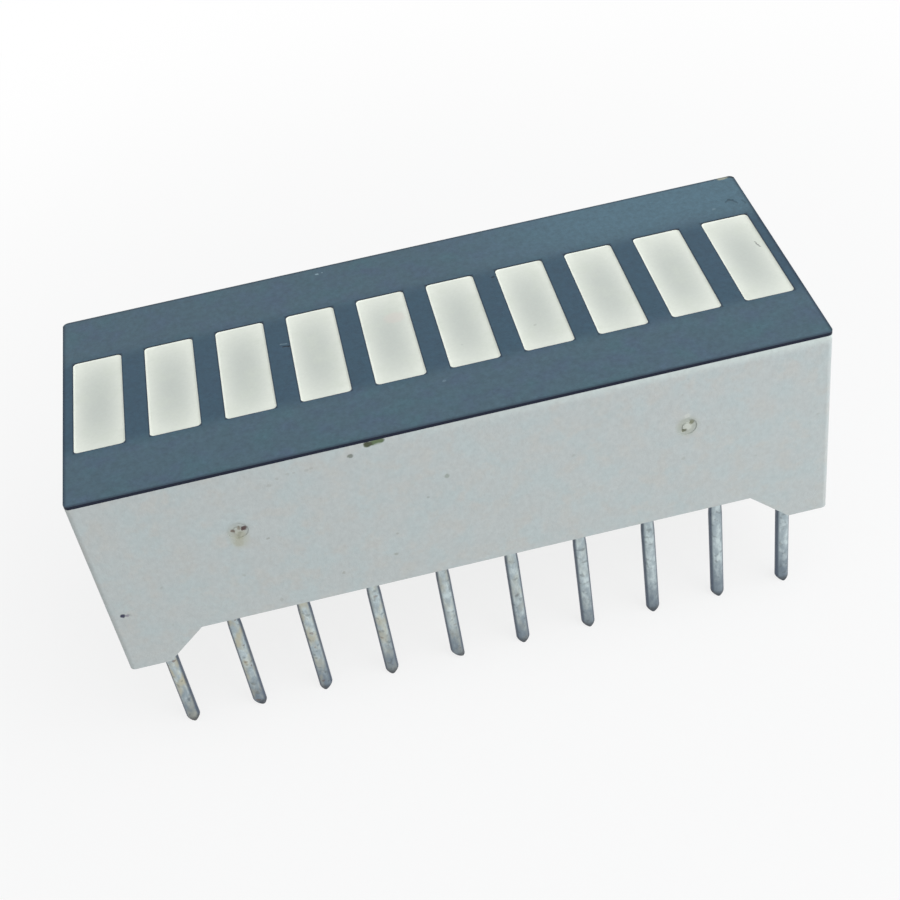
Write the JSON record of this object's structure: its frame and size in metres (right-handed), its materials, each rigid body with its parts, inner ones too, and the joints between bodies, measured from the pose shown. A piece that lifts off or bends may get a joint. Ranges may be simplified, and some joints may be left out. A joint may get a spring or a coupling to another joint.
{
  "type": "led bar graph",
  "caption": "Dual in-line LED bar graph: a white moulded housing with a dark face, a row of milky rectangular light segments and two rows of round tinned pins.",
  "frame": {"origin": "centre of the pin pattern on the seating plane, which is the underside of the feet", "axes": "+X along the row of segments, +Y towards the back row of pins, +Z out of the face; the pins point along -Z"},
  "size_m": [0.0252, 0.01, 0.0124],
  "materials": {
    "housing_plastic": "fine satin moulded white plastic, slightly grey",
    "face_coat": "matt blue-grey printed coat",
    "diffuser": "milky cast resin, satin on its face",
    "board": "glass-cloth board",
    "copper": "etched copper",
    "chip": "sawn semiconductor",
    "gold": "drawn gold wire",
    "tinned_wire": "dull tinned wire",
    "solder": "frozen solder",
    "backfill": "cast milky resin"
  },
  "bodies": {
    "root": {"housing": "housing_plastic", "face_coat": "face_coat", "segment_1": "diffuser", "segment_2": "diffuser", "segment_3": "diffuser", "segment_4": "diffuser", "segment_5": "diffuser", "segment_6": "diffuser", "segment_7": "diffuser", "segment_8": "diffuser", "segment_9": "diffuser", "segment_10": "diffuser", "circuit_board": "board", "copper_tracks": "copper", "led_chip_1": "chip", "led_chip_2": "chip", "led_chip_3": "chip", "led_chip_4": "chip", "led_chip_5": "chip", "led_chip_6": "chip", "led_chip_7": "chip", "led_chip_8": "chip", "led_chip_9": "chip", "led_chip_10": "chip", "bond_wire_1": "gold", "bond_wire_2": "gold", "bond_wire_3": "gold", "bond_wire_4": "gold", "bond_wire_5": "gold", "bond_wire_6": "gold", "bond_wire_7": "gold", "bond_wire_8": "gold", "bond_wire_9": "gold", "bond_wire_10": "gold", "pin_1": "tinned_wire", "pin_2": "tinned_wire", "pin_3": "tinned_wire", "pin_4": "tinned_wire", "pin_5": "tinned_wire", "pin_6": "tinned_wire", "pin_7": "tinned_wire", "pin_8": "tinned_wire", "pin_9": "tinned_wire", "pin_10": "tinned_wire", "pin_11": "tinned_wire", "pin_12": "tinned_wire", "pin_13": "tinned_wire", "pin_14": "tinned_wire", "pin_15": "tinned_wire", "pin_16": "tinned_wire", "pin_17": "tinned_wire", "pin_18": "tinned_wire", "pin_19": "tinned_wire", "pin_20": "tinned_wire", "solder_joints": "solder", "backfill_resin": "backfill"}
  },
  "joints": []
}
